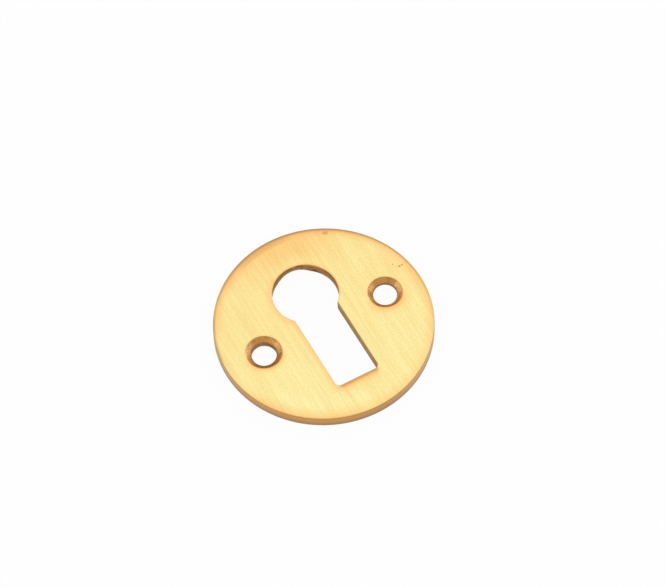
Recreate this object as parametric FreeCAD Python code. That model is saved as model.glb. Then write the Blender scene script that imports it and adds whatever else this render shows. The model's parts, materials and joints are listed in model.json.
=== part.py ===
import FreeCAD
import Part
import math
import os

# Keyhole escutcheon
# A round flat plate of solid brass that dresses and guards a keyhole. It is screwed to the
# front of a drawer or a door, and the key passes through it into the lock behind.
# The back of the plate lies in the plane z = 0 and the face looks up, along +Z. The origin
# is the centre of the back. The round of the keyhole is towards +Y and its slot runs down
# towards -Y. The two screws are left and right, on the X axis. All sizes are in millimetres.

# Plate
PLATE_DIAMETER = 32.0
PLATE_THICKNESS = 2.0
FACE_EDGE_RADIUS = 0.15
BACK_EDGE_BREAK = 0.15

# Keyhole: a drilled round and a straight slot with a square end
ROUND_DIAMETER = 9.7
ROUND_CENTRE_Y = 5.6
ROUND_BACK_CHAMFER = 0.25
SLOT_WIDTH = 6.9
SLOT_END_Y = -10.3
SLOT_CORNER_RADIUS = 0.55
KEYHOLE_EDGE_RADIUS = 0.1

# The back of the round is eased at its top, with a countersink held there by hand
BACK_EASING_CENTRE_Y = 7.75
BACK_EASING_RADIUS = 3.5
BACK_EASING_DEPTH = 0.9

# Screw holes: countersunk from the face, with the burr taken off at the back
SCREW_SPACING = 20.1
SCREW_HOLE_DIAMETER = 3.5
COUNTERSINK_DIAMETER = 5.2
COUNTERSINK_ANGLE = 90.0
SCREW_BACK_CHAMFER = 0.45

# How far the cutting shapes stand out of the plate on each side
CUTTER_OVERRUN = 1.0

# How close two heights are when they count as the same
SAME_HEIGHT = 0.01

FACE_Z = PLATE_THICKNESS
UP = FreeCAD.Vector(0, 0, 1)
CENTRE = FreeCAD.Vector(0, 0, 0)


def at(x, y, z=0.0):
    return FreeCAD.Vector(x, y, z)


def on_circle(centre, radius, degrees):
    """A point on a level circle, with the angle counted from +X towards +Y."""
    angle = math.radians(degrees)
    return at(centre.x + radius * math.cos(angle), centre.y + radius * math.sin(angle), centre.z)


def straight(start, end):
    return Part.LineSegment(start, end).toShape()


def turned(edges, axis_x=0.0):
    """The solid that a closed half section in the XZ plane gives when it is turned once."""
    section = Part.Face(Part.Wire(edges))
    return section.revolve(at(axis_x, 0), UP, 360)


def plate_blank():
    """The disc, with the softened edge of its face and the broken edge of its back."""
    rim = PLATE_DIAMETER / 2
    round_centre_x = rim - FACE_EDGE_RADIUS
    round_centre_z = FACE_Z - FACE_EDGE_RADIUS
    diagonal = FACE_EDGE_RADIUS * math.cos(math.radians(45))
    back_break = at(rim - BACK_EDGE_BREAK, 0, 0)
    wall_foot = at(rim, 0, BACK_EDGE_BREAK)
    wall_head = at(rim, 0, round_centre_z)
    round_middle = at(round_centre_x + diagonal, 0, round_centre_z + diagonal)
    face_edge = at(round_centre_x, 0, FACE_Z)
    face_centre = at(0, 0, FACE_Z)
    return turned([
        straight(CENTRE, back_break),
        straight(back_break, wall_foot),
        straight(wall_foot, wall_head),
        Part.Arc(wall_head, round_middle, face_edge).toShape(),
        straight(face_edge, face_centre),
        straight(face_centre, CENTRE),
    ])


def keyhole_outline(z):
    """The outline of the keyhole: the arc of the round, the slot and its two small corners."""
    centre = at(0, ROUND_CENTRE_Y, z)
    radius = ROUND_DIAMETER / 2
    half_slot = SLOT_WIDTH / 2
    shoulder_y = ROUND_CENTRE_Y - math.sqrt(radius ** 2 - half_slot ** 2)
    corner_x = half_slot - SLOT_CORNER_RADIUS
    corner_y = SLOT_END_Y + SLOT_CORNER_RADIUS

    right_shoulder = at(half_slot, shoulder_y, z)
    left_shoulder = at(-half_slot, shoulder_y, z)
    right_wall_end = at(half_slot, corner_y, z)
    left_wall_end = at(-half_slot, corner_y, z)
    right_floor = at(corner_x, SLOT_END_Y, z)
    left_floor = at(-corner_x, SLOT_END_Y, z)
    right_corner = on_circle(at(corner_x, corner_y, z), SLOT_CORNER_RADIUS, -45)
    left_corner = on_circle(at(-corner_x, corner_y, z), SLOT_CORNER_RADIUS, -135)

    return Part.Wire([
        Part.Arc(right_shoulder, on_circle(centre, radius, 90), left_shoulder).toShape(),
        straight(left_shoulder, left_wall_end),
        Part.Arc(left_wall_end, left_corner, left_floor).toShape(),
        straight(left_floor, right_floor),
        Part.Arc(right_floor, right_corner, right_wall_end).toShape(),
        straight(right_wall_end, right_shoulder),
    ])


def keyhole_cutter():
    """What the keyhole takes out of the plate, from below the back to above the face."""
    outline = Part.Face(keyhole_outline(-CUTTER_OVERRUN))
    return outline.extrude(UP * (PLATE_THICKNESS + 2 * CUTTER_OVERRUN))


def round_back_chamfer():
    """The cone that takes the burr off the back of the drilled round."""
    radius = ROUND_DIAMETER / 2
    return Part.makeCone(
        radius + ROUND_BACK_CHAMFER, radius, ROUND_BACK_CHAMFER, at(0, ROUND_CENTRE_Y, 0), UP)


def round_back_easing():
    """The 90 degree cone that eases the back of the round at its top only."""
    return Part.makeCone(
        BACK_EASING_RADIUS, BACK_EASING_RADIUS - BACK_EASING_DEPTH, BACK_EASING_DEPTH,
        at(0, BACK_EASING_CENTRE_Y, 0), UP)


def screw_hole_cutter(x):
    """A countersunk screw hole at x on the X axis, cut as one turned shape."""
    hole = SCREW_HOLE_DIAMETER / 2
    mouth = COUNTERSINK_DIAMETER / 2
    slope = math.tan(math.radians(COUNTERSINK_ANGLE / 2))
    sink_foot_z = FACE_Z - (mouth - hole) / slope
    corners = [
        at(x, 0, 0),
        at(x + hole + SCREW_BACK_CHAMFER, 0, 0),
        at(x + hole, 0, SCREW_BACK_CHAMFER),
        at(x + hole, 0, sink_foot_z),
        at(x + mouth + CUTTER_OVERRUN * slope, 0, FACE_Z + CUTTER_OVERRUN),
        at(x, 0, FACE_Z + CUTTER_OVERRUN),
    ]
    following = corners[1:] + corners[:1]
    return turned([straight(start, end) for start, end in zip(corners, following)], x)


def keyhole_face_edges(plate):
    """The edges where the keyhole meets the face, apart from the screw holes and the rim."""
    half_slot = SLOT_WIDTH / 2
    reach_x = max(half_slot, ROUND_DIAMETER / 2) + KEYHOLE_EDGE_RADIUS
    edges = []
    for edge in plate.Edges:
        box = edge.BoundBox
        on_face = max(abs(box.ZMin - FACE_Z), abs(box.ZMax - FACE_Z)) < SAME_HEIGHT
        if on_face and box.XMin > -reach_x and box.XMax < reach_x:
            edges.append(edge)
    return edges


def escutcheon_plate():
    """The whole plate: blank, keyhole, two screw holes, then the softened keyhole edge."""
    plate = plate_blank().cut(keyhole_cutter())
    plate = plate.cut(round_back_chamfer()).cut(round_back_easing())
    for side in (-1, 1):
        plate = plate.cut(screw_hole_cutter(side * SCREW_SPACING / 2))
    plate = plate.makeFillet(KEYHOLE_EDGE_RADIUS, keyhole_face_edges(plate))
    return plate.Solids[0]


os.makedirs("parts", exist_ok=True)
escutcheon_plate().exportStep("parts/escutcheon_plate.step")
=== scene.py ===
import json
import math

import bpy
from mathutils import Matrix, Vector


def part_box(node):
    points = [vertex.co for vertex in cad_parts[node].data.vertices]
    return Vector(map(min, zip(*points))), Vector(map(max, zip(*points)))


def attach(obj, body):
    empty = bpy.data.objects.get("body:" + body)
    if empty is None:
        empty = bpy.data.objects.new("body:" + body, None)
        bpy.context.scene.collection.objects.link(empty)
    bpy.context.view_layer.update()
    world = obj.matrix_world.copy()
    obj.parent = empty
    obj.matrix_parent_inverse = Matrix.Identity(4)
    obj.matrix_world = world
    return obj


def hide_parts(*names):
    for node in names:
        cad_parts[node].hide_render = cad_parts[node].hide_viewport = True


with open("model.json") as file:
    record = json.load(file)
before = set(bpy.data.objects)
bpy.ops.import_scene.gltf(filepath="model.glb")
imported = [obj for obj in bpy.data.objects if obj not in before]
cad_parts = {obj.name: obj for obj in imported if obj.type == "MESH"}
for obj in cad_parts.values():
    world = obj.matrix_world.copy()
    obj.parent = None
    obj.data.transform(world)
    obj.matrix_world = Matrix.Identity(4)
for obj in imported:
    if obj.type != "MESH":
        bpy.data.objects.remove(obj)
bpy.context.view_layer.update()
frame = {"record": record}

bl_info = {
    "name": "Keyhole escutcheon",
    "version": (1, 0, 0),
    "blender": (4, 5, 0),
    "location": "3D View > Sidebar > Escutcheon",
    "description": "Models, finishes and lights a round brass keyhole escutcheon",
    "category": "Add Mesh",
}

# Names that the frame knows
NODE = "escutcheon_plate"
BODY = "root"
SCREW_MOUNT = "screw_holes"

# Sizes read from the frame, in metres
MM = 0.001
LOW_CORNER, HIGH_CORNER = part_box(NODE)
PLATE_RADIUS = HIGH_CORNER.x
PLATE_THICKNESS = HIGH_CORNER.z
SCREW_DIMS = next(m["dims"] for m in frame["record"]["mounts"] if m["name"] == SCREW_MOUNT)
SCREW_SPACING = SCREW_DIMS["spacing_x_mm"] * MM
SCREW_HOLE_RADIUS = SCREW_DIMS["hole_r_mm"] * MM

# How far a cutting shape stands out of the plate, and how close two places count as one
OVERRUN = 1.0 * MM
NEAR = 0.004 * MM

# Steps round a full turn, and across an edge radius
TURN_STEPS = 256
HOLE_STEPS = 128
EDGE_STEPS = 5

# Two faces that meet at less than this angle shade as one curve
SMOOTH_ANGLE = math.radians(35)

# How high a face's normal points: more than LEVEL on a flat, less than STEEP on a wall and less than
# DOWN on the back
LEVEL = 0.999
STEEP = 0.05
DOWN = -0.9

# How wide the whole floor is, and how far it lies under the plate, so that the two never share a plane
FLOOR_WIDTH = 6.0
FLOOR_GAP = 0.01 * MM

# How far each soft lamp stands from the plate
LAMP_DISTANCE = 0.6

# The width of the camera's film, in millimetres
FILM_WIDTH = 36.0

# The order of the plate's finishes in its material slots
FACE, RIM, KEYHOLE, SCREW_HOLE, BACK, PIT = range(6)

# The picture that the camera frames, in pixels
PICTURE_WIDTH = 665
PICTURE_HEIGHT = 587


def linear_colour(code):
    """A colour written as sRGB hex, such as #FDEAA0, as the linear values that a shader needs."""
    def channel(start):
        value = int(code[start:start + 2], 16) / 255
        return value / 12.92 if value <= 0.04045 else ((value + 0.055) / 1.055) ** 2.4
    return channel(1), channel(3), channel(5)


def length_property(name, description, default):
    return bpy.props.FloatProperty(
        name=name, description=description, default=default, min=0.0, unit="LENGTH", precision=5)


def place_property(name, description, default):
    return bpy.props.FloatProperty(
        name=name, description=description, default=default, unit="LENGTH", precision=5)


def colour_property(name, description, code):
    return bpy.props.FloatVectorProperty(
        name=name, description=description, default=linear_colour(code),
        size=3, min=0.0, max=1.0, subtype="COLOR")


class EscutcheonSizes(bpy.types.PropertyGroup):
    """The sizes of the plate, its keyhole and its screw holes"""
    plate_radius: length_property(
        "Plate radius", "From the middle of the plate to its rim", PLATE_RADIUS)
    plate_thickness: length_property(
        "Plate thickness", "From the back to the face", PLATE_THICKNESS)
    face_edge_radius: length_property(
        "Face edge radius", "The rounding where the face meets the rim", 0.15 * MM)
    face_roll_width: length_property(
        "Face roll width", "How far in from the rim the linishing has rolled the face over", 1.5 * MM)
    face_roll_depth: length_property(
        "Face roll depth", "How far the rolled face drops before its edge radius", 0.03 * MM)
    back_edge_break: length_property(
        "Back edge break", "The small flat that breaks the edge of the back", 0.15 * MM)
    round_radius: length_property(
        "Round radius", "The radius of the drilled round of the keyhole", 4.85 * MM)
    round_centre: place_property(
        "Round centre", "How far the middle of the round lies above the plate's middle", 5.6 * MM)
    round_off_centre: place_property(
        "Round off centre", "How far to the right of its mark the round was drilled", 0.08 * MM)
    round_back_chamfer: length_property(
        "Round back chamfer", "The chamfer at the back edge of the round", 0.25 * MM)
    back_easing_x: place_property(
        "Back easing right", "How far right of the plate's middle the easing's cone was held", 0.25 * MM)
    back_easing_y: place_property(
        "Back easing up", "How far above the plate's middle the easing's cone was held", 7.75 * MM)
    back_easing_radius: length_property(
        "Back easing radius", "The radius, at the back, of the cone that eases the round's top", 3.5 * MM)
    back_easing_depth: length_property(
        "Back easing depth", "How far up the wall of the round that cone reaches", 0.9 * MM)
    slot_width: length_property(
        "Slot width", "The width of the keyhole's slot", 6.9 * MM)
    slot_end: place_property(
        "Slot end", "Where the slot ends, below the plate's middle", -10.3 * MM)
    slot_corner_radius: length_property(
        "Slot corner radius", "The radius in the two corners of the slot's end", 0.55 * MM)
    keyhole_edge_radius: length_property(
        "Keyhole edge radius", "The rounding where the face meets the keyhole", 0.1 * MM)
    screw_spacing: length_property(
        "Screw spacing", "From the middle of one screw hole to the middle of the other", SCREW_SPACING)
    screw_shift_x: place_property(
        "Screw shift right", "How far to the right of its mark the pair of holes was drilled", 0.175 * MM)
    screw_shift_y: place_property(
        "Screw shift up", "How far above its mark the pair of holes was drilled", 0.035 * MM)
    screw_lean: place_property(
        "Screw lean", "How far the right hole is up, and the left one down, from the pair's middle",
        0.1 * MM)
    screw_hole_radius: length_property(
        "Screw hole radius", "The radius of the hole that the screw's shank passes",
        SCREW_HOLE_RADIUS + 0.03 * MM)
    screw_hole_scatter: length_property(
        "Screw hole scatter", "How much wider the left hole is, and the right one narrower", 0.05 * MM)
    left_bore_x: place_property(
        "Left bore right", "How far right of its countersink's middle the left hole is bored", 0.045 * MM)
    left_bore_y: place_property(
        "Left bore up", "How far above its countersink's middle the left hole is bored", 0.065 * MM)
    right_bore_x: place_property(
        "Right bore right", "How far right of its countersink's middle the right hole is bored", -0.03 * MM)
    right_bore_y: place_property(
        "Right bore up", "How far above its countersink's middle the right hole is bored", -0.05 * MM)
    countersink_radius: length_property(
        "Countersink radius", "The radius of the countersinks where they meet the face", 2.595 * MM)
    countersink_scatter: length_property(
        "Countersink scatter", "How much wider the left countersink is, and the right one narrower",
        0.065 * MM)
    countersink_angle: bpy.props.FloatProperty(
        name="Countersink angle", description="The full angle of the countersink's cone",
        default=math.radians(90), subtype="ANGLE")
    countersink_edge_radius: length_property(
        "Countersink edge radius", "The rounding where the face meets the countersink", 0.1 * MM)
    left_back_chamfer: length_property(
        "Left back chamfer", "The chamfer at the back edge of the left screw hole", 0.45 * MM)
    right_back_chamfer: length_property(
        "Right back chamfer", "The deeper chamfer at the back edge of the right screw hole", 1.15 * MM)


class EscutcheonFinish(bpy.types.PropertyGroup):
    """The colours, the painted light and shade, and the grain of the brass"""
    face_pale: colour_property("Pale face", "The linished face towards the slot's end", "#FEF0AB")
    face_upper: colour_property("Upper face", "The linished face from the middle upwards", "#FEECA6")
    face_warm: colour_property("Warm face", "The warmer patch between the round and the rim", "#FED68D")
    face_arc: colour_property("Pale arc", "The palest arc, inside the lower left rim", "#FFF4B2")
    line_tint: colour_property("Brushing line tint", "What a brushing line takes from the face", "#FCF5EB")
    grain_tint: colour_property("Grain tint", "What the fine grain takes from the face", "#F5F2EC")
    # Painted shade: the orange of a face that rolls over to an edge and turns from the light; on the
    # keyhole wall it is a painted highlight
    roll_shading: colour_property("Edge glow", "The orange where the face rolls over to an edge", "#FCBC71")
    # Painted shade on the rounded edges; the same tone also makes the keyhole wall more golden at its upper
    # right
    edge_line_shading: colour_property("Edge line", "The rounded edge itself", "#AF814C")
    # Painted shade on the rounded end of the slot
    slot_end_shade: colour_property("Slot line", "The rounded end of the slot", "#CFA26C")
    # Painted shade along the far rim, standing for the reflection of darker surroundings in its rolled edge
    far_rim_shade: colour_property("Far rim line", "The duller rolled edge above the round", "#BB925E")
    stain: colour_property("Stain", "The small reddish stains near the rim", "#DCA96F")
    spot: colour_property("Spot", "The faint spot near the left rim", "#F2DA96")
    rim: colour_property("Rim", "The turned wall round the plate", "#CE964C")
    # Painted highlight on the rim's right side and along its top edge
    rim_highlight: colour_property("Rubbed rim", "Where that wall has been rubbed brighter", "#DEAC67")
    # Painted shade at the rim's foot, and the same tone in its random mottle
    rim_shade_and_mottle: colour_property("Rim foot", "The duller foot of that wall", "#A68461")
    # Partly the keyhole's own rough, tarnished cut and partly a painted reflection of a dark surface
    keyhole_wall: colour_property("Keyhole wall", "The cut walls of the keyhole", "#926A46")
    keyhole_pale: colour_property("Pale keyhole wall", "The sawn wall of the slot", "#AF9072")
    # Tarnish in the keyhole's walls; in the screw holes the same tone is painted shade at the right
    keyhole_tarnish_and_shade: colour_property("Keyhole dark", "Tarnish in the keyhole's walls", "#6E4724")
    countersink: colour_property("Countersink", "The drilled cones of the screw holes", "#D49B58")
    # Painted highlight on the countersinks' cones
    countersink_highlight: colour_property("Bright countersink", "Where a cone is cut brightest", "#FFCA86")
    # Tarnish in the screw holes, and painted shade in their fans and at their mouths
    countersink_tarnish_and_shade: colour_property("Countersink dark", "Tarnish in the screw holes", "#9E7240")
    # Painted shade deep in the screw holes, on the foot of the cone and the straight wall below it
    bore: colour_property("Bore", "The straight wall of the screw holes, below their cones", "#967054")
    pit: colour_property("Pit", "The tarnished brass in the small pits", "#F4C85E")
    back: colour_property("Back", "The plain sheet of the back", "#E3C682")
    back_dull: colour_property("Dull back", "Handled and tarnished places on the back", "#C29C5E")
    line_spacing: length_property(
        "Brushing line spacing", "The spacing of the fine lines that linishing leaves", 0.27 * MM)
    line_length: length_property(
        "Brushing line length", "How far one brushing line runs", 8.0 * MM)
    grain_size: length_property(
        "Grain size", "The size of the fine grain of the linished face", 0.22 * MM)


class EscutcheonStage(bpy.types.PropertyGroup):
    """The camera, the lamps and the floor"""
    azimuth: bpy.props.FloatProperty(
        name="Azimuth", description="The side that the camera looks from, 0 from below the slot",
        default=math.radians(-27.26), subtype="ANGLE")
    elevation: bpy.props.FloatProperty(
        name="Elevation", description="How high the camera stands above the plate",
        default=math.radians(59.15), subtype="ANGLE")
    roll: bpy.props.FloatProperty(
        name="Roll", description="How far the camera leans", default=math.radians(-2.05), subtype="ANGLE")
    distance: bpy.props.FloatProperty(
        name="Distance", description="From the camera to the plate's face", default=0.8,
        unit="LENGTH")
    plate_pixels: bpy.props.FloatProperty(
        name="Plate radius in the picture", description="The plate's radius in the picture, in pixels",
        default=110.85)
    plate_column: bpy.props.FloatProperty(
        name="Plate column", description="The pixel column of the middle of the face", default=323.70)
    plate_row: bpy.props.FloatProperty(
        name="Plate row", description="The pixel row of the middle of the face", default=322.45)
    room_light: bpy.props.FloatProperty(
        name="Room light", description="How bright the pale room is", default=0.81, min=0.0)
    floor_light: bpy.props.FloatProperty(
        name="Floor light", description="The share of the floor's white that no shadow can darken",
        default=0.95, min=0.0, max=1.0, subtype="FACTOR")


def deselect_all():
    """Nothing is selected and no object is in edit mode, so that an operator acts on one thing only."""
    if bpy.context.object and bpy.context.object.mode != "OBJECT":
        bpy.ops.object.mode_set(mode="OBJECT")
    bpy.ops.object.select_all(action="DESELECT")


def make_active(piece):
    deselect_all()
    piece.select_set(True)
    bpy.context.view_layer.objects.active = piece


def turned_shape(name, profile, x=0.0, y=0.0, steps=TURN_STEPS):
    """A closed solid turned on an upright axis. The profile lists (radius, height) from foot to head."""
    deselect_all()
    radius, height = profile[0]
    bpy.ops.mesh.primitive_circle_add(
        vertices=steps, radius=radius, fill_type="NGON", location=(x, y, height))
    shape = bpy.context.object
    shape.name = name
    bpy.ops.object.mode_set(mode="EDIT")
    bpy.ops.mesh.select_all(action="SELECT")
    for next_radius, next_height in profile[1:]:
        bpy.ops.mesh.extrude_region_move(
            TRANSFORM_OT_translate={"value": (0, 0, next_height - height)})
        growth = next_radius / radius
        bpy.ops.transform.resize(value=(growth, growth, 1), center_override=(x, y, next_height))
        radius, height = next_radius, next_height
    bpy.ops.mesh.select_all(action="SELECT")
    bpy.ops.mesh.normals_make_consistent(inside=False)
    bpy.ops.object.mode_set(mode="OBJECT")
    bpy.ops.object.transform_apply(location=True, rotation=True, scale=True)
    return shape


def select_edges(piece, wanted):
    """Selects the edges whose two ends and whose faces pass the test, for the next edit."""
    mesh = piece.data
    faces_of = {}
    for face in mesh.polygons:
        for key in face.edge_keys:
            faces_of.setdefault(key, []).append(face)
    for part in (mesh.vertices, mesh.polygons, mesh.edges):
        part.foreach_set("select", [False] * len(part))
    found = 0
    for edge in mesh.edges:
        ends = [mesh.vertices[index].co for index in edge.vertices]
        edge.select = wanted(ends, faces_of.get(edge.key, []))
        found += edge.select
    if not found:
        raise RuntimeError("no edge of " + piece.name + " is where it was looked for")


def round_edges(piece, wanted, radius, steps):
    """Rounds the edges that pass the test."""
    make_active(piece)
    select_edges(piece, wanted)
    bpy.ops.object.mode_set(mode="EDIT")
    bpy.ops.mesh.select_mode(type="EDGE")
    bpy.ops.mesh.bevel(offset=radius, segments=steps, affect="EDGES", clamp_overlap=False)
    bpy.ops.object.mode_set(mode="OBJECT")


def cut_away(piece, cutter):
    """Takes the cutter's shape out of the piece, and removes the cutter."""
    make_active(piece)
    cut = piece.modifiers.new("cut", "BOOLEAN")
    cut.operation = "DIFFERENCE"
    cut.solver = "EXACT"
    cut.object = cutter
    bpy.ops.object.modifier_apply(modifier=cut.name)
    bpy.data.objects.remove(cutter)


def rim_profile(sizes):
    """The plate's half section, from the edge of the back, up the rim and over to the flat face."""
    top = sizes.plate_thickness
    rolled_top = top - sizes.face_roll_depth
    arc_centre = sizes.plate_radius - sizes.face_edge_radius
    arc_foot = rolled_top - sizes.face_edge_radius
    profile = [
        (sizes.plate_radius - sizes.back_edge_break, 0.0),
        (sizes.plate_radius, sizes.back_edge_break),
        (sizes.plate_radius, arc_foot),
    ]
    for step in range(1, EDGE_STEPS + 1):
        angle = math.radians(90) * step / EDGE_STEPS
        profile.append((
            arc_centre + sizes.face_edge_radius * math.cos(angle),
            arc_foot + sizes.face_edge_radius * math.sin(angle)))
    for step in range(1, EDGE_STEPS + 1):
        inwards = step / EDGE_STEPS
        profile.append((
            arc_centre - sizes.face_roll_width * inwards,
            top - sizes.face_roll_depth * (1 - inwards) ** 2))
    return profile


def slot_cutter(sizes):
    """The square-ended slot, with a small radius in its two corners, up to the middle of the round."""
    deselect_all()
    length = sizes.round_centre - sizes.slot_end
    height = sizes.plate_thickness + 2 * OVERRUN
    bpy.ops.mesh.primitive_cube_add(
        size=1.0,
        location=(0, sizes.slot_end + length / 2, sizes.plate_thickness / 2),
        scale=(sizes.slot_width, length, height))
    cutter = bpy.context.object
    cutter.name = "slot_cutter"
    bpy.ops.object.transform_apply(location=True, rotation=True, scale=True)

    def is_end_corner(ends, faces):
        upright = abs(ends[0].z - ends[1].z) > NEAR
        return upright and abs(ends[0].y - sizes.slot_end) < NEAR
    round_edges(cutter, is_end_corner, sizes.slot_corner_radius, EDGE_STEPS)
    return cutter


def round_cutter(sizes):
    """The drilled round of the keyhole, with the chamfer at its back edge."""
    chamfer = sizes.round_back_chamfer
    return turned_shape("round_cutter", [
        (sizes.round_radius + chamfer + OVERRUN, -OVERRUN),
        (sizes.round_radius, chamfer),
        (sizes.round_radius, sizes.plate_thickness + OVERRUN),
    ], x=sizes.round_off_centre, y=sizes.round_centre, steps=TURN_STEPS)


def back_easing_cutter(sizes):
    """The cone that eases the back of the round at its top, where a countersink was held by hand."""
    return turned_shape("back_easing_cutter", [
        (sizes.back_easing_radius + OVERRUN, -OVERRUN),
        (sizes.back_easing_radius - sizes.back_easing_depth, sizes.back_easing_depth),
    ], x=sizes.back_easing_x, y=sizes.back_easing_y, steps=HOLE_STEPS)


def countersink_centre(sizes, side):
    """Where a countersink was cut, with side -1 for the left one and 1 for the right one."""
    return Vector((
        sizes.screw_shift_x + side * sizes.screw_spacing / 2,
        sizes.screw_shift_y + side * sizes.screw_lean))


def countersink_reach(sizes, side):
    """The radius of that hole's countersink at the face."""
    return sizes.countersink_radius - side * sizes.countersink_scatter


def out_of_countersink(sizes, point):
    """How far a point is outside the edge of the countersink on its side, or inside it if negative."""
    side = 1 if point.x > 0 else -1
    return (point.xy - countersink_centre(sizes, side)).length - countersink_reach(sizes, side)


def bore_cutter(sizes, side):
    """The hole for a screw's shank, with the chamfer at its back."""
    chamfer = sizes.left_back_chamfer if side < 0 else sizes.right_back_chamfer
    radius = sizes.screw_hole_radius - side * sizes.screw_hole_scatter
    centre = countersink_centre(sizes, side)
    if side < 0:
        centre += Vector((sizes.left_bore_x, sizes.left_bore_y))
    else:
        centre += Vector((sizes.right_bore_x, sizes.right_bore_y))
    return turned_shape("bore_cutter", [
        (radius + chamfer + OVERRUN, -OVERRUN),
        (radius, chamfer),
        (radius, sizes.plate_thickness + OVERRUN),
    ], x=centre.x, y=centre.y, steps=HOLE_STEPS)


def countersink_cutter(sizes, side):
    """The cone for a screw's head, from inside its bore to above the face."""
    mouth = countersink_reach(sizes, side)
    slope = math.tan(sizes.countersink_angle / 2)
    foot = 0.5 * sizes.screw_hole_radius
    centre = countersink_centre(sizes, side)
    return turned_shape("countersink_cutter", [
        (foot, sizes.plate_thickness - (mouth - foot) / slope),
        (mouth + OVERRUN * slope, sizes.plate_thickness + OVERRUN),
    ], x=centre.x, y=centre.y, steps=HOLE_STEPS)


def meets_face(faces, top):
    """Whether one of the two faces lies flat in the plate's face, and the other one slopes away."""
    if len(faces) != 2:
        return False
    flat = [face.normal.z > LEVEL and abs(face.center.z - top) < NEAR for face in faces]
    return flat[0] != flat[1]


def soften_holes(plate, sizes):
    """Rounds the edges that the keyhole and the screw holes make with the face."""
    top = sizes.plate_thickness

    def is_countersink_edge(ends, faces):
        return meets_face(faces, top) and all(abs(out_of_countersink(sizes, end)) < NEAR for end in ends)

    def is_keyhole_edge(ends, faces):
        flat_radius = sizes.plate_radius - sizes.face_edge_radius - sizes.face_roll_width
        inside = all(end.xy.length < flat_radius - NEAR for end in ends)
        clear = all(out_of_countersink(sizes, end) > sizes.face_edge_radius for end in ends)
        return meets_face(faces, top) and inside and clear

    round_edges(plate, is_countersink_edge, sizes.countersink_edge_radius, 2)
    round_edges(plate, is_keyhole_edge, sizes.keyhole_edge_radius, EDGE_STEPS)


# The three small pits right of the keyhole: their places on the face and their radii, in millimetres.
# Each is the cap of a ball. PIT_RISE is how many of its radii the ball's middle lies above the face, and
# PIT_REACH is how many radii from its middle a face may lie and still belong to the pit.
PIT_RISE = 0.3
PIT_REACH = 1.05
PITS = (
    (13.45, 3.60, 0.09),
    (14.17, 2.85, 0.15),
    (14.59, 2.875, 0.12),
)


def sink_pits(plate, sizes):
    """Sinks three shallow pits into the face, each the cap of a small ball."""
    for x, y, radius in PITS:
        deselect_all()
        face_here = sizes.plate_thickness - sizes.face_roll_depth / 2
        bpy.ops.mesh.primitive_ico_sphere_add(
            subdivisions=3, radius=radius * MM,
            location=(x * MM, y * MM, face_here + PIT_RISE * radius * MM))
        ball = bpy.context.object
        bpy.ops.object.transform_apply(location=True, rotation=True, scale=True)
        cut_away(plate, ball)


def finish_of(face, sizes):
    """Which of the plate's finishes a face of its mesh has, from its place and its normal."""
    centre = face.center
    out_of_hole = out_of_countersink(sizes, centre)
    in_pit = any(
        (centre.xy - Vector((x, y)) * MM).length < PIT_REACH * radius * MM for x, y, radius in PITS)
    if centre.z < NEAR and face.normal.z < DOWN:
        return BACK
    if out_of_hole < 0:
        return SCREW_HOLE
    if centre.xy.length > sizes.plate_radius - sizes.back_edge_break and face.normal.z < STEEP:
        return RIM
    if in_pit and centre.z < sizes.plate_thickness - NEAR and face.normal.z < LEVEL:
        return PIT
    if face.normal.z > STEEP:
        return FACE
    return SCREW_HOLE if out_of_hole < OVERRUN else KEYHOLE


def smooth_shading(piece):
    """Round walls and edges shade smoothly, flat ones stay flat, and true corners stay sharp."""
    make_active(piece)
    bpy.ops.object.shade_smooth_by_angle(angle=SMOOTH_ANGLE)
    weighted = piece.modifiers.new("weighted_normals", "WEIGHTED_NORMAL")
    weighted.keep_sharp = True
    bpy.ops.object.modifier_apply(modifier=weighted.name)


class ESCUTCHEON_OT_plate(bpy.types.Operator):
    """Models the brass plate: the turned blank, the keyhole, the screw holes and the small pits"""
    bl_idname = "escutcheon.plate"
    bl_label = "Model the Plate"
    bl_options = {"REGISTER", "UNDO"}

    def execute(self, context):
        sizes = context.scene.escutcheon_sizes
        plate = turned_shape("brass_plate", rim_profile(sizes))
        cut_away(plate, round_cutter(sizes))
        cut_away(plate, slot_cutter(sizes))
        cut_away(plate, back_easing_cutter(sizes))
        for side in (-1, 1):
            cut_away(plate, bore_cutter(sizes, side))
            cut_away(plate, countersink_cutter(sizes, side))
        soften_holes(plate, sizes)
        sink_pits(plate, sizes)
        smooth_shading(plate)
        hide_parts(NODE)
        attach(plate, BODY)
        return {"FINISHED"}


def add_node(tree, kind, values=None, **options):
    """Adds a node, sets its options, and gives each socket, by name or by number, a value or the
    socket that feeds it."""
    node = tree.nodes.new(kind)
    for option, value in options.items():
        setattr(node, option, value)
    for name, value in (values or {}).items():
        if isinstance(value, bpy.types.NodeSocket):
            tree.links.new(value, node.inputs[name])
        else:
            node.inputs[name].default_value = value
    return node


# The sockets of a Mix node that mix two colours: its share and its two colours
MIX_SHARE, MIX_FIRST, MIX_SECOND = 0, 6, 7

# What the edge of a polished metal keeps of the light that glances off it, and a rough one's
POLISHED_EDGE_TINT = (1.0, 1.0, 1.0, 1.0)
ROUGH_EDGE_TINT = (0.8, 0.65, 0.4, 1.0)


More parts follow.
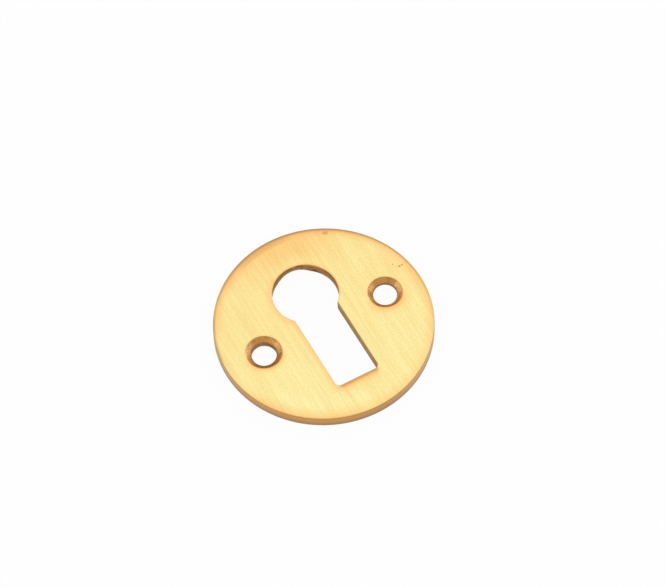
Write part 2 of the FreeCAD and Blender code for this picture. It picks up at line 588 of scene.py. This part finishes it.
class Brass:
    """A bare brass in the making: its nodes, where a point of it lies, and its colour so far.
    Metal has no colour but that of its reflection, and the edge tint dulls what a rough wall throws
    back at a glancing angle."""

    def __init__(self, name, sizes, finish, colour, roughness, edge_tint=POLISHED_EDGE_TINT):
        self.sizes = sizes
        self.finish = finish
        self.colour = (*colour, 1.0)
        self.material = bpy.data.materials.new(name)
        self.material.use_nodes = True
        self.tree = self.material.node_tree
        self.tree.nodes.clear()
        self.shader = add_node(self.tree, "ShaderNodeBsdfPrincipled", {
            "Metallic": 1.0, "Roughness": roughness, "Specular Tint": edge_tint})
        add_node(self.tree, "ShaderNodeOutputMaterial", {"Surface": self.shader.outputs["BSDF"]})
        self.place = add_node(self.tree, "ShaderNodeTexCoord").outputs["Object"]
        self.x, self.y, self.z = add_node(
            self.tree, "ShaderNodeSeparateXYZ", {"Vector": self.place}).outputs
        self.level = self.add("ShaderNodeCombineXYZ", {"X": self.x, "Y": self.y})

    def add(self, kind, values, **options):
        """Adds a node, and gives the socket of its result, which is the first one that is in use."""
        outputs = add_node(self.tree, kind, values, **options).outputs
        return next(output for output in outputs if output.enabled)

    def product(self, *parts):
        """All the parts multiplied together. A part is a socket, or a slope: the value that it
        follows, where it starts and ends, and what it eases from and to, or else from 0 to 1."""
        product = None
        for part in parts:
            if isinstance(part, tuple):
                value, start, end, low, high = (*part, 0.0, 1.0)[:5]
                part = self.add("ShaderNodeMapRange", {
                    "Value": value, "From Min": start, "From Max": end, "To Min": low, "To Max": high,
                }, interpolation_type="SMOOTHSTEP")
            product = part if product is None else self.add(
                "ShaderNodeMath", {0: product, 1: part}, operation="MULTIPLY")
        return product

    def lay(self, tone, *parts, blend="MIX"):
        """Lays a tone over the colour so far, as far as the product of the parts says. With the
        blend MULTIPLY it is a tint, and the colour stays below it."""
        self.colour = self.add("ShaderNodeMix", {
            MIX_SHARE: self.product(*parts), MIX_FIRST: self.colour, MIX_SECOND: (*tone, 1.0),
        }, data_type="RGBA", blend_type=blend)

    def from_point(self, x, y, z=None):
        """How far a place is from a point, or how far on the level where the point has no height."""
        place, point = (self.level, (x, y, 0.0)) if z is None else (self.place, (x, y, z))
        return self.add("ShaderNodeVectorMath", {0: place, 1: point}, operation="DISTANCE")

    def from_oval(self, x, y, turn, squeeze):
        """How far a place is from the middle of an oval, with its length counted as its width is."""
        squeezed = self.add("ShaderNodeMapping", {
            "Vector": self.level, "Location": (x, y, 0.0), "Rotation": (0.0, 0.0, turn),
            "Scale": (1 / squeeze, 1.0, 1.0)}, vector_type="TEXTURE")
        return self.add("ShaderNodeVectorMath", {0: squeezed}, operation="LENGTH")

    def towards(self, x, y, spoke=None):
        """How far a place lies in a level direction, or how squarely a spoke points there."""
        return self.add(
            "ShaderNodeVectorMath", {0: spoke or self.level, 1: (x, y, 0.0)}, operation="DOT_PRODUCT")

    def from_round(self):
        """How far a place is outside the round of the keyhole."""
        distance = self.from_point(self.sizes.round_off_centre, self.sizes.round_centre)
        return self.add("ShaderNodeMath", {0: distance, 1: self.sizes.round_radius}, operation="SUBTRACT")

    def from_slot(self):
        """How far a place is from the slot of the keyhole."""
        half_length = (self.sizes.round_centre - self.sizes.slot_end) / 2
        past = self.level
        for operation, value in (
                ("SUBTRACT", (0.0, self.sizes.slot_end + half_length, 0.0)),
                ("ABSOLUTE", (0.0, 0.0, 0.0)),
                ("SUBTRACT", (self.sizes.slot_width / 2, half_length, 0.0)),
                ("MAXIMUM", (0.0, 0.0, 0.0))):
            past = self.add("ShaderNodeVectorMath", {0: past, 1: value}, operation=operation)
        return self.add("ShaderNodeVectorMath", {0: past}, operation="LENGTH")

    def from_nearer_hole(self):
        """The spoke from the middle of the nearer countersink, and how far outside it a place is."""
        sizes = self.sizes
        side = self.add("ShaderNodeMath", {0: self.x}, operation="SIGN")
        centre = self.add("ShaderNodeVectorMath", {
            0: side,
            1: (sizes.screw_spacing / 2, sizes.screw_lean, 0.0),
            2: (sizes.screw_shift_x, sizes.screw_shift_y, 0.0)}, operation="MULTIPLY_ADD")
        offset = self.add("ShaderNodeVectorMath", {0: self.level, 1: centre}, operation="SUBTRACT")
        spoke = self.add("ShaderNodeVectorMath", {0: offset}, operation="NORMALIZE")
        distance = self.add("ShaderNodeVectorMath", {0: offset}, operation="LENGTH")
        mouth = self.add("ShaderNodeMath", {
            0: side, 1: -sizes.countersink_scatter, 2: sizes.countersink_radius}, operation="MULTIPLY_ADD")
        return spoke, self.add("ShaderNodeMath", {0: distance, 1: mouth}, operation="SUBTRACT")

    def grain(self, lengths, detail, roughness=0.6):
        """Noise whose grains are about as long, wide and high as the lengths say."""
        spread = self.add("ShaderNodeMapping", {
            "Vector": self.place, "Scale": tuple(1 / length for length in lengths)})
        return self.add("ShaderNodeTexNoise", {
            "Vector": spread, "Scale": 1.0, "Detail": detail, "Roughness": roughness})

    def finished(self, relief=None, strength=0.0, depth=0.0):
        """The material, with its colour and its fine relief in place."""
        self.tree.links.new(self.colour, self.shader.inputs["Base Color"])
        if relief:
            bump = self.add("ShaderNodeBump", {"Strength": strength, "Distance": depth, "Height": relief})
            self.tree.links.new(bump, self.shader.inputs["Normal"])
        return self.material


def open_face(metal):
    """The open face is pale towards the slot's end, and warmer between the round and the rim."""
    finish = metal.finish
    radius = metal.sizes.plate_radius
    metal.lay(finish.face_upper, (metal.y, -0.5 * radius, 0.2 * radius))

    # The pale arc a sixth of the radius inside the lower left rim
    from_middle = metal.from_point(0.0, 0.0)
    metal.lay(
        finish.face_arc,
        (from_middle, 0.755 * radius, 0.845 * radius),
        (from_middle, 0.935 * radius, 0.845 * radius),
        (metal.towards(-0.57, -0.82), 0.45 * radius, 0.8 * radius, 0.0, 0.7))

    # The warm patch is wider than it is high, and weaker by the round and at its left
    metal.lay(
        finish.face_warm,
        (metal.from_oval(0.08 * radius, 0.92 * radius, 0.0, 0.78), 0.62 * radius, 0.05 * radius, 0.0, 0.95),
        (metal.from_round(), 0.3 * MM, 2.6 * MM, 0.45, 1.0),
        (metal.from_point(-0.6 * radius, 0.46 * radius), 0.04 * radius, 0.3 * radius, 0.3, 1.0))


# Where the painted orange shade of the roll along the rim is weaker: the direction, how wide the stretch is
# and what it loses
WEAK_ROLL_SHADE = (
    (-1.0, 0.0, 0.12, 0.85),
    (0.42, -0.91, 0.3, 0.35),
)

# Patches of painted shade along the rim: the direction of each, how squarely a place lies there where the
# patch begins and where it is full, where it starts and ends in plate radii, and its share. First the
# painted orange shade where the roll starts further in, then darker painted shade inside the far rim and
# along the left edge.
ROLL_SHADE_PATCHES = (
    (0.98, 0.17, 0.92, 0.985, 0.76, 0.9, 0.22),
    (-0.37, 0.93, 0.92, 0.985, 0.84, 0.95, 0.3),
)
RIM_SHADE_PATCHES = (
    (-0.13, 0.99, 0.94, 0.99, 0.91, 0.94, 0.28),
    (-0.94, 0.34, 0.94, 0.99, 0.972, 0.986, 0.45),
)


def rolled_rim(metal):
    """The face has painted orange shade where it rolls over to the rim, and darker painted shade along the
    far rim.
    """
    finish = metal.finish
    radius = metal.sizes.plate_radius
    from_middle = metal.from_point(0.0, 0.0)
    spoke = metal.add("ShaderNodeVectorMath", {0: metal.level}, operation="NORMALIZE")

    def lay_patches(tone, patches):
        for x, y, begin, full, start, end, share in patches:
            metal.lay(
                tone, (metal.towards(x, y, spoke), begin, full),
                (from_middle, start * radius, end * radius, 0.0, share))

    metal.lay(finish.roll_shading, (from_middle, 0.88 * radius, 1.05 * radius, 0.0, 0.85), *(
        (metal.towards(x, y, spoke), 1.0 - width, 1.0 - 0.2 * width, 1.0, 1.0 - loss)
        for x, y, width, loss in WEAK_ROLL_SHADE))
    lay_patches(finish.roll_shading, ROLL_SHADE_PATCHES)
    upper = metal.product((metal.towards(0.15, 0.99), 0.3 * radius, 1.05 * radius))
    metal.lay(finish.roll_shading, upper, (from_middle, 0.9 * radius, 0.965 * radius, 0.0, 0.4))
    # Painted shade along the far rim, and in the patches inside it and along the left edge
    metal.lay(finish.far_rim_shade, upper, (from_middle, 0.945 * radius, radius, 0.0, 0.8))
    lay_patches(finish.far_rim_shade, RIM_SHADE_PATCHES)

    # The very edge has painted shade, apart from the stretch towards the lower left
    metal.lay(
        finish.edge_line_shading, (from_middle, 0.97 * radius, 0.99 * radius, 0.0, 0.6),
        (metal.towards(0.46, 0.89), -0.4 * radius, 0.9 * radius))


# Below the slot's end, how far down the roll's painted shade is full, and in what length it then falls to a
# third
FADE_START = 0.5 * MM
FADE_LENGTH = 0.55 * MM


def rolled_keyhole(metal):
    """The face has painted orange shade where it rolls over to the keyhole: widely below the slot's end, a
    little on its left side, and hardly at all on its right side."""
    finish = metal.finish
    slot_end = metal.sizes.slot_end
    from_slot = metal.from_slot()
    nearest = metal.add("ShaderNodeMath", {0: from_slot, 1: metal.from_round()}, operation="MINIMUM")

    # All round, apart from the slot's right side and its left one
    right_side = metal.product((metal.x, 2.9 * MM, 3.4 * MM), (metal.y, 3.0 * MM, 1.5 * MM))
    elsewhere = metal.add("ShaderNodeMath", {0: 1.0, 1: right_side}, operation="SUBTRACT")
    metal.lay(
        finish.roll_shading, (nearest, 0.4 * MM, 0.0, 0.0, 0.6), elsewhere,
        (metal.x, -2.9 * MM, -3.4 * MM, 1.0, 0.0))
    metal.lay(
        finish.roll_shading, (nearest, 1.4 * MM, 0.0, 0.0, 0.5), (metal.x, -2.5 * MM, -3.4 * MM))

    # Below the end: the roll's painted shade fades out downwards, and towards the end's two corners
    below_end = metal.product(
        (metal.x, 3.5 * MM, 2.6 * MM), (metal.x, -3.5 * MM, -2.6 * MM),
        (metal.y, slot_end, slot_end - 0.1 * MM))
    falling = metal.add("ShaderNodeMath", {
        0: from_slot, 1: -1 / FADE_LENGTH, 2: FADE_START / FADE_LENGTH}, operation="MULTIPLY_ADD")
    fading = metal.add("ShaderNodeMath", {0: falling}, operation="EXPONENT", use_clamp=True)
    metal.lay(finish.roll_shading, below_end, fading)
    # Painted shade on the rounded end of the slot
    metal.lay(finish.slot_end_shade, below_end, (from_slot, 0.7 * MM, 0.2 * MM))


def rolled_screw_holes(metal):
    """The face has painted orange shade where it rolls over, narrowly all round each countersink and widely
    below it, with a line of painted shade below each.
    """
    finish = metal.finish
    spoke, out = metal.from_nearer_hole()
    metal.lay(finish.roll_shading, (out, 0.32 * MM, -0.02 * MM, 0.0, 0.55))
    below = metal.product((metal.towards(-0.14, -0.99, spoke), 0.0, 0.9))
    metal.lay(finish.roll_shading, below, (out, 1.05 * MM, -0.1 * MM, 0.0, 0.8))
    metal.lay(finish.roll_shading, below, (out, 2.2 * MM, 0.0, 0.0, 0.35), (metal.x, 0.0, MM))
    metal.lay(finish.edge_line_shading, below, (out, 0.26 * MM, -0.12 * MM))


def small_marks(metal):
    """The oval stain by the far rim, the faint spot near the left rim and the dash between the pits."""
    finish = metal.finish
    stain = metal.from_oval(7.53 * MM, 13.17 * MM, math.radians(-27.3), 0.727)
    metal.lay(finish.stain, (stain, 0.407 * MM, 0.218 * MM, 0.0, 0.95))
    metal.lay(finish.spot, (metal.from_point(-13.13 * MM, 2.64 * MM), 0.28 * MM, 0.1 * MM, 0.0, 0.8))
    dash = metal.from_oval(13.80 * MM, 3.04 * MM, 0.0, 0.35)
    metal.lay(finish.stain, (dash, 0.13 * MM, 0.05 * MM, 0.0, 0.5))


def linished_face(sizes, finish):
    """Brass faced on a fine belt along the length of the keyhole.
    The eye sees a satin, pale gold plane with fine straight lines and a fine grain, with painted orange
    shade where the belt has rolled it over towards an edge that it ran across."""
    metal = Brass("linished_brass", sizes, finish, finish.face_pale, 0.34)
    open_face(metal)

    # Brushing lines: real ones are a few hundredths of a millimetre apart, and these are as coarse as
    # the picture can show. Broader bands of them and a fine grain lie over them.
    spacing = finish.line_spacing
    length = finish.line_length
    fine = metal.grain((spacing, length, length), 3.0)
    broad = metal.grain((5 * spacing, 3 * length, 3 * length), 2.0)
    bands = metal.add("ShaderNodeMath", {0: broad, 1: 0.4}, operation="MULTIPLY")
    lines = metal.add("ShaderNodeMath", {0: fine, 1: 0.6, 2: bands}, operation="MULTIPLY_ADD")
    metal.lay(finish.line_tint, (lines, 0.35, 0.65), blend="MULTIPLY")
    metal.lay(finish.grain_tint, (metal.grain((finish.grain_size,) * 3, 2.0), 0.3, 0.7), blend="MULTIPLY")

    rolled_rim(metal)
    rolled_keyhole(metal)
    rolled_screw_holes(metal)
    small_marks(metal)

    # Painted shade on the rounded edges themselves
    top = sizes.plate_thickness
    metal.lay(finish.edge_line_shading, (metal.z, top - 0.035 * MM, top - 0.12 * MM))
    roughness = metal.product((fine, 0.3, 0.7, 0.30, 0.38))
    metal.tree.links.new(roughness, metal.shader.inputs["Roughness"])
    return metal.finished(fine, 0.25, 0.004 * MM)


def turned_rim(sizes, finish):
    """Brass as the blanking tool and the lathe left it.
    The eye sees a browner, duller band, with painted highlights on the right and along its top and painted
    shade at its foot."""
    metal = Brass("turned_brass_rim", sizes, finish, finish.rim, 0.42)
    radius = sizes.plate_radius
    thickness = sizes.plate_thickness
    # Painted highlight on the right side and along the top edge
    metal.lay(finish.rim_highlight, (metal.x, 0.15 * radius, 0.5 * radius, 0.0, 0.8))
    metal.lay(finish.rim_highlight, (metal.z, 0.8 * thickness, thickness, 0.0, 0.6))
    # Painted shade at the foot; the mottle below is the wall's own random tone
    metal.lay(finish.rim_shade_and_mottle, (metal.z, 0.65 * thickness, 0.2 * thickness))
    mottle = metal.grain((0.7 * MM,) * 3, 4.0)
    metal.lay(finish.rim_shade_and_mottle, (mottle, 0.35, 0.75, 0.0, 0.35))
    return metal.finished(mottle, 0.3, 0.006 * MM)


def cut_keyhole_wall(sizes, finish):
    """Brass drilled and sawn through and never polished.
    The eye sees a brown wall with upright tool marks, paler in the slot, with patches of tarnish. Its brown
    is partly its own rough cut and partly a painted reflection of a dark surface."""
    metal = Brass("sawn_brass_keyhole", sizes, finish, finish.keyhole_wall, 0.5, ROUGH_EDGE_TINT)
    top = sizes.plate_thickness
    depth = metal.add("ShaderNodeMath", {0: top, 1: metal.z}, operation="SUBTRACT")
    golden = (metal.from_point(3.5 * MM, 9.0 * MM), 2.0 * MM, MM)

    # The slot is paler than the round. The round is paler in its lower half and at its left end, and
    # more golden at its upper right.
    metal.lay(finish.keyhole_pale, (metal.y, 3.2 * MM, 1.2 * MM))
    metal.lay(finish.keyhole_pale, (depth, 0.3 * MM, 1.1 * MM, 0.0, 0.6), (*golden, 1.0, 0.6))
    metal.lay(finish.keyhole_pale, (metal.x, -3.0 * MM, -3.8 * MM, 0.0, 0.9))
    metal.lay(finish.edge_line_shading, golden, (depth, 1.15 * MM, 0.8 * MM, 0.0, 0.5))
    marks = metal.grain((0.35 * MM, 0.35 * MM, 2.0 * MM), 4.0, 0.65)
    metal.lay(finish.keyhole_tarnish_and_shade, (marks, 0.45, 0.8, 0.0, 0.6))

    # It has a painted highlight just below the face at the right, and is pale in one spot at the top. It
    # has one dark spot low at the right, and a nick in its edge at the top.
    metal.lay(finish.roll_shading, (depth, 0.5 * MM, 0.06 * MM), (*golden, 0.12, 0.47))
    pale_spot = metal.from_point(0.7 * MM, 10.4 * MM, top)
    metal.lay(finish.roll_shading, (pale_spot, 0.6 * MM, 0.2 * MM, 0.0, 0.3))
    dark_spot = metal.from_point(3.5 * MM, 9.0 * MM, 0.55 * MM)
    metal.lay(finish.keyhole_tarnish_and_shade, (dark_spot, 0.6 * MM, 0.2 * MM, 0.0, 0.75))
    nick = metal.from_point(1.45 * MM, 10.2 * MM, top)
    metal.lay(finish.keyhole_tarnish_and_shade, (nick, 0.6 * MM, 0.25 * MM, 0.0, 0.75))
    return metal.finished(marks, 0.5, 0.01 * MM)


# The spacing of the rings in the countersinks
RING_SPACING = 0.12 * MM

# The fans of painted highlight and of painted shade in the countersinks, and of painted highlight at their
# feet: the angle that each faces, how far to each side of it the fan is full and where it ends, in degrees,
# and its share in the left and in the right hole
CONE_HIGHLIGHT_FANS = (
    (-5, 14, 27, 0.75, 1.0),
    (157, 22, 58, 0.9, 1.0),
    (300, 25, 60, 0.15, 0.4),
)
CONE_SHADE_FANS = (
    (37, 10, 22, 0.2, 0.55),
    (155, 7, 20, 0.0, 0.55),
    (250, 20, 50, 0.6, 0.35),
)
FOOT_HIGHLIGHT_FANS = (
    (168, 15, 40, 0.5, 0.3),
    (293, 25, 50, 0.0, 0.8),
    (325, 20, 45, 0.35, 0.25),
)


def lay_fans(metal, spoke, tone, fans, *parts):
    """Lays a tone over some fans of the countersinks, where the other parts let it."""
    for faces, full, end, left_share, right_share in fans:
        angle = math.radians(faces)
        metal.lay(
            tone, (
                metal.towards(math.cos(angle), math.sin(angle), spoke),
                math.cos(math.radians(end)), math.cos(math.radians(full))),
            (metal.x, -MM, MM, left_share, right_share), *parts)


def drilled_screw_hole(sizes, finish):
    """Brass cut by a countersink bit.
    The eye sees an orange-brown cone with fine rings, painted fans of highlight and shade,
    and mottled tarnish."""
    metal = Brass("countersunk_brass", sizes, finish, finish.countersink, 0.38, ROUGH_EDGE_TINT)
    spoke, out = metal.from_nearer_hole()

    # Painted highlights and painted shade in fans, as light falls on a turned cone
    lay_fans(metal, spoke, finish.countersink_highlight, CONE_HIGHLIGHT_FANS)
    lay_fans(metal, spoke, finish.countersink_tarnish_and_shade, CONE_SHADE_FANS)

    # Its mouth has a thin line of painted shade towards the upper right
    metal.lay(
        finish.countersink_tarnish_and_shade, (out, -0.2 * MM, -0.05 * MM),
        (metal.towards(0.5, 0.87, spoke), -0.2, 0.4, 0.0, 0.28))
    metal.lay(finish.countersink_tarnish_and_shade, (metal.grain((0.5 * MM,) * 3, 5.0, 0.65), 0.45, 0.8, 0.0, 0.6))
    metal.lay(finish.countersink_tarnish_and_shade, (metal.grain((0.22 * MM,) * 3, 2.0), 0.5, 0.68, 0.0, 0.5))

    # The foot of the cone and the straight hole below it have painted shade deep in the hole, apart from
    # its painted highlight fans, and more painted shade at the right
    slope = math.tan(sizes.countersink_angle / 2)
    cone_foot = sizes.plate_thickness - (sizes.countersink_radius - sizes.screw_hole_radius) / slope
    in_hole_shade = metal.product(
        (metal.z, cone_foot + 0.28 * MM, cone_foot), (metal.towards(0.0, 1.0, spoke), -0.6, 0.1, 0.4, 1.0))
    metal.lay(finish.bore, in_hole_shade)
    lay_fans(metal, spoke, finish.countersink_highlight, FOOT_HIGHLIGHT_FANS, (out, -0.3 * MM, -0.65 * MM))
    metal.lay(finish.keyhole_tarnish_and_shade, in_hole_shade, (metal.towards(0.94, 0.34, spoke), 0.5, 0.95, 0.0, 0.4))

    # Fine rings, as coarse as the picture can show
    turns = metal.add("ShaderNodeMath", {0: metal.z, 1: 2 * math.pi / RING_SPACING}, operation="MULTIPLY")
    rings = metal.add("ShaderNodeMath", {0: turns}, operation="SINE")
    return metal.finished(rings, 0.3, 0.004 * MM)


def sheet_back(sizes, finish):
    """Brass sheet as it was rolled, never faced.
    The eye sees a plain, slightly dull yellow plane with faint rolling lines and handled patches."""
    metal = Brass("rolled_brass_back", sizes, finish, finish.back, 0.4)
    lines = metal.grain((0.4 * MM, 12.0 * MM, 12.0 * MM), 3.0)
    metal.lay(finish.back_dull, (metal.grain((6.0 * MM,) * 3, 4.0, 0.55), 0.4, 0.7, 0.0, 0.6))
    metal.lay(finish.back_dull, (lines, 0.4, 0.7, 0.0, 0.25))
    return metal.finished(lines, 0.2, 0.004 * MM)


def dirty_pit(sizes, finish):
    """A small pit that the linishing has opened. The eye sees a tarnished dot with grains of dirt."""
    metal = Brass("dirty_pit", sizes, finish, finish.pit, 0.6)
    metal.lay(finish.countersink_tarnish_and_shade, (metal.grain((0.05 * MM,) * 3, 2.0), 0.3, 0.7, 0.0, 0.5))
    return metal.finished()


class ESCUTCHEON_OT_finish(bpy.types.Operator):
    """Gives the plate its brass finishes: linished face, turned rim, cut keyhole and drilled holes"""
    bl_idname = "escutcheon.finish"
    bl_label = "Finish the Brass"
    bl_options = {"REGISTER", "UNDO"}

    def execute(self, context):
        sizes = context.scene.escutcheon_sizes
        finish = context.scene.escutcheon_finish
        plate = bpy.data.objects["brass_plate"]
        makers = {
            FACE: linished_face,
            RIM: turned_rim,
            KEYHOLE: cut_keyhole_wall,
            SCREW_HOLE: drilled_screw_hole,
            BACK: sheet_back,
            PIT: dirty_pit,
        }
        plate.data.materials.clear()
        for order in sorted(makers):
            plate.data.materials.append(makers[order](sizes, finish))
        for face in plate.data.polygons:
            face.material_index = finish_of(face, sizes)
        return {"FINISHED"}


def pale_floor(stage):
    """A plain pale floor. What the camera and the brass see of it is mostly an even white, and the
    rest is lit, so that the plate's shadow stays on it."""
    material = bpy.data.materials.new("pale_matt_floor")
    material.use_nodes = True
    tree = material.node_tree
    tree.nodes.clear()
    lit = add_node(tree, "ShaderNodeBsdfDiffuse", {"Color": (0.9, 0.9, 0.9, 1.0)})
    even = add_node(tree, "ShaderNodeEmission", {"Color": (1.0, 1.0, 1.0, 1.0), "Strength": 1.0})
    path = add_node(tree, "ShaderNodeLightPath").outputs
    seen = path["Is Camera Ray"]
    for ray in ("Is Glossy Ray", "Is Transmission Ray"):
        seen = add_node(tree, "ShaderNodeMath", {0: seen, 1: path[ray]}, operation="MAXIMUM").outputs[0]
    share = add_node(tree, "ShaderNodeMath", {0: seen, 1: stage.floor_light}, operation="MULTIPLY")
    both = add_node(tree, "ShaderNodeMixShader", {
        0: share.outputs[0], 1: lit.outputs["BSDF"], 2: even.outputs["Emission"]})
    add_node(tree, "ShaderNodeOutputMaterial", {"Surface": both.outputs["Shader"]})
    return material


def add_floor(stage):
    """Lays the floor under the plate."""
    deselect_all()
    bpy.ops.mesh.primitive_plane_add(size=FLOOR_WIDTH, location=(0, 0, -FLOOR_GAP))
    floor = bpy.context.object
    floor.name = "floor"
    floor.data.materials.append(pale_floor(stage))


def add_softbox(name, direction, width, brightness):
    """A square soft lamp that looks at the plate. Brightness 1 is the white of the floor."""
    away = Vector(direction).normalized()
    bpy.ops.object.light_add(type="AREA", location=away * LAMP_DISTANCE)
    lamp = bpy.context.object
    lamp.name = name
    lamp.rotation_mode = "QUATERNION"
    lamp.rotation_quaternion = away.to_track_quat("Z", "Y")
    lamp.data.shape = "SQUARE"
    lamp.data.size = width
    lamp.data.energy = brightness * math.pi * width ** 2


def light_room(stage):
    """A pale, even room, with one large soft lamp behind the plate and one at each side."""
    world = bpy.data.worlds.new("pale_room")
    bpy.context.scene.world = world
    world.use_nodes = True
    background = world.node_tree.nodes["Background"]
    background.inputs["Color"].default_value = (1.0, 1.0, 1.0, 1.0)
    background.inputs["Strength"].default_value = stage.room_light
    back = camera_back(stage)
    add_softbox("back_softbox", (-back.x, -back.y, back.z), 0.5, 0.28)
    add_softbox("left_softbox", (-1.0, -0.2, 0.5), 0.35, 0.6)
    add_softbox("right_softbox", (1.0, 0.2, 0.5), 0.35, 0.6)


def camera_back(stage):
    """The direction from the plate to the camera."""
    return Vector((
        math.sin(stage.azimuth) * math.cos(stage.elevation),
        -math.cos(stage.azimuth) * math.cos(stage.elevation),
        math.sin(stage.elevation)))


def add_camera(stage, sizes):
    """The camera, set so that the middle of the face falls on its pixel at its scale."""
    back = camera_back(stage)
    level_right = Vector((math.cos(stage.azimuth), math.sin(stage.azimuth), 0.0))
    level_up = back.cross(level_right)
    right = level_right * math.cos(stage.roll) + level_up * math.sin(stage.roll)
    up = level_up * math.cos(stage.roll) - level_right * math.sin(stage.roll)
    metres_per_pixel = sizes.plate_radius / stage.plate_pixels
    to_right = (stage.plate_column - PICTURE_WIDTH / 2) * metres_per_pixel
    downwards = (stage.plate_row - PICTURE_HEIGHT / 2) * metres_per_pixel
    face_middle = Vector((0, 0, sizes.plate_thickness))
    spot = face_middle + back * stage.distance - right * to_right + up * downwards
    bpy.ops.object.camera_add()
    camera = bpy.context.object
    camera.name = "camera"
    camera.matrix_world = Matrix.Translation(spot) @ Matrix((right, up, back)).transposed().to_4x4()
    camera.data.sensor_width = FILM_WIDTH
    camera.data.lens = stage.distance / metres_per_pixel * FILM_WIDTH / PICTURE_WIDTH
    camera.data.clip_start = 0.1
    camera.data.clip_end = 10.0
    bpy.context.scene.camera = camera


class ESCUTCHEON_OT_stage(bpy.types.Operator):
    """Sets the stage: a pale floor, soft studio light and the camera"""
    bl_idname = "escutcheon.stage"
    bl_label = "Set the Stage"
    bl_options = {"REGISTER", "UNDO"}

    def execute(self, context):
        stage = context.scene.escutcheon_stage
        sizes = context.scene.escutcheon_sizes
        add_floor(stage)
        light_room(stage)
        add_camera(stage, sizes)
        context.scene.view_settings.view_transform = "Standard"
        return {"FINISHED"}


class ESCUTCHEON_PT_panel(bpy.types.Panel):
    """The escutcheon's operators and settings, in the sidebar"""
    bl_idname = "ESCUTCHEON_PT_panel"
    bl_label = "Keyhole Escutcheon"
    bl_space_type = "VIEW_3D"
    bl_region_type = "UI"
    bl_category = "Escutcheon"

    def draw(self, context):
        for operator, group in STEPS:
            box = self.layout.box()
            box.operator(operator)
            owner = getattr(context.scene, group)
            for name in owner.__annotations__:
                box.prop(owner, name)


STEPS = (
    ("escutcheon.plate", "escutcheon_sizes"),
    ("escutcheon.finish", "escutcheon_finish"),
    ("escutcheon.stage", "escutcheon_stage"),
)

CLASSES = (
    EscutcheonSizes,
    EscutcheonFinish,
    EscutcheonStage,
    ESCUTCHEON_OT_plate,
    ESCUTCHEON_OT_finish,
    ESCUTCHEON_OT_stage,
    ESCUTCHEON_PT_panel,
)


def register():
    for each in CLASSES:
        bpy.utils.register_class(each)
    bpy.types.Scene.escutcheon_sizes = bpy.props.PointerProperty(type=EscutcheonSizes)
    bpy.types.Scene.escutcheon_finish = bpy.props.PointerProperty(type=EscutcheonFinish)
    bpy.types.Scene.escutcheon_stage = bpy.props.PointerProperty(type=EscutcheonStage)


def unregister():
    del bpy.types.Scene.escutcheon_stage
    del bpy.types.Scene.escutcheon_finish
    del bpy.types.Scene.escutcheon_sizes
    for each in reversed(CLASSES):
        bpy.utils.unregister_class(each)


def main():
    register()
    bpy.ops.escutcheon.plate()
    bpy.ops.escutcheon.finish()
    bpy.ops.escutcheon.stage()


if __name__ == "__main__":
    main()
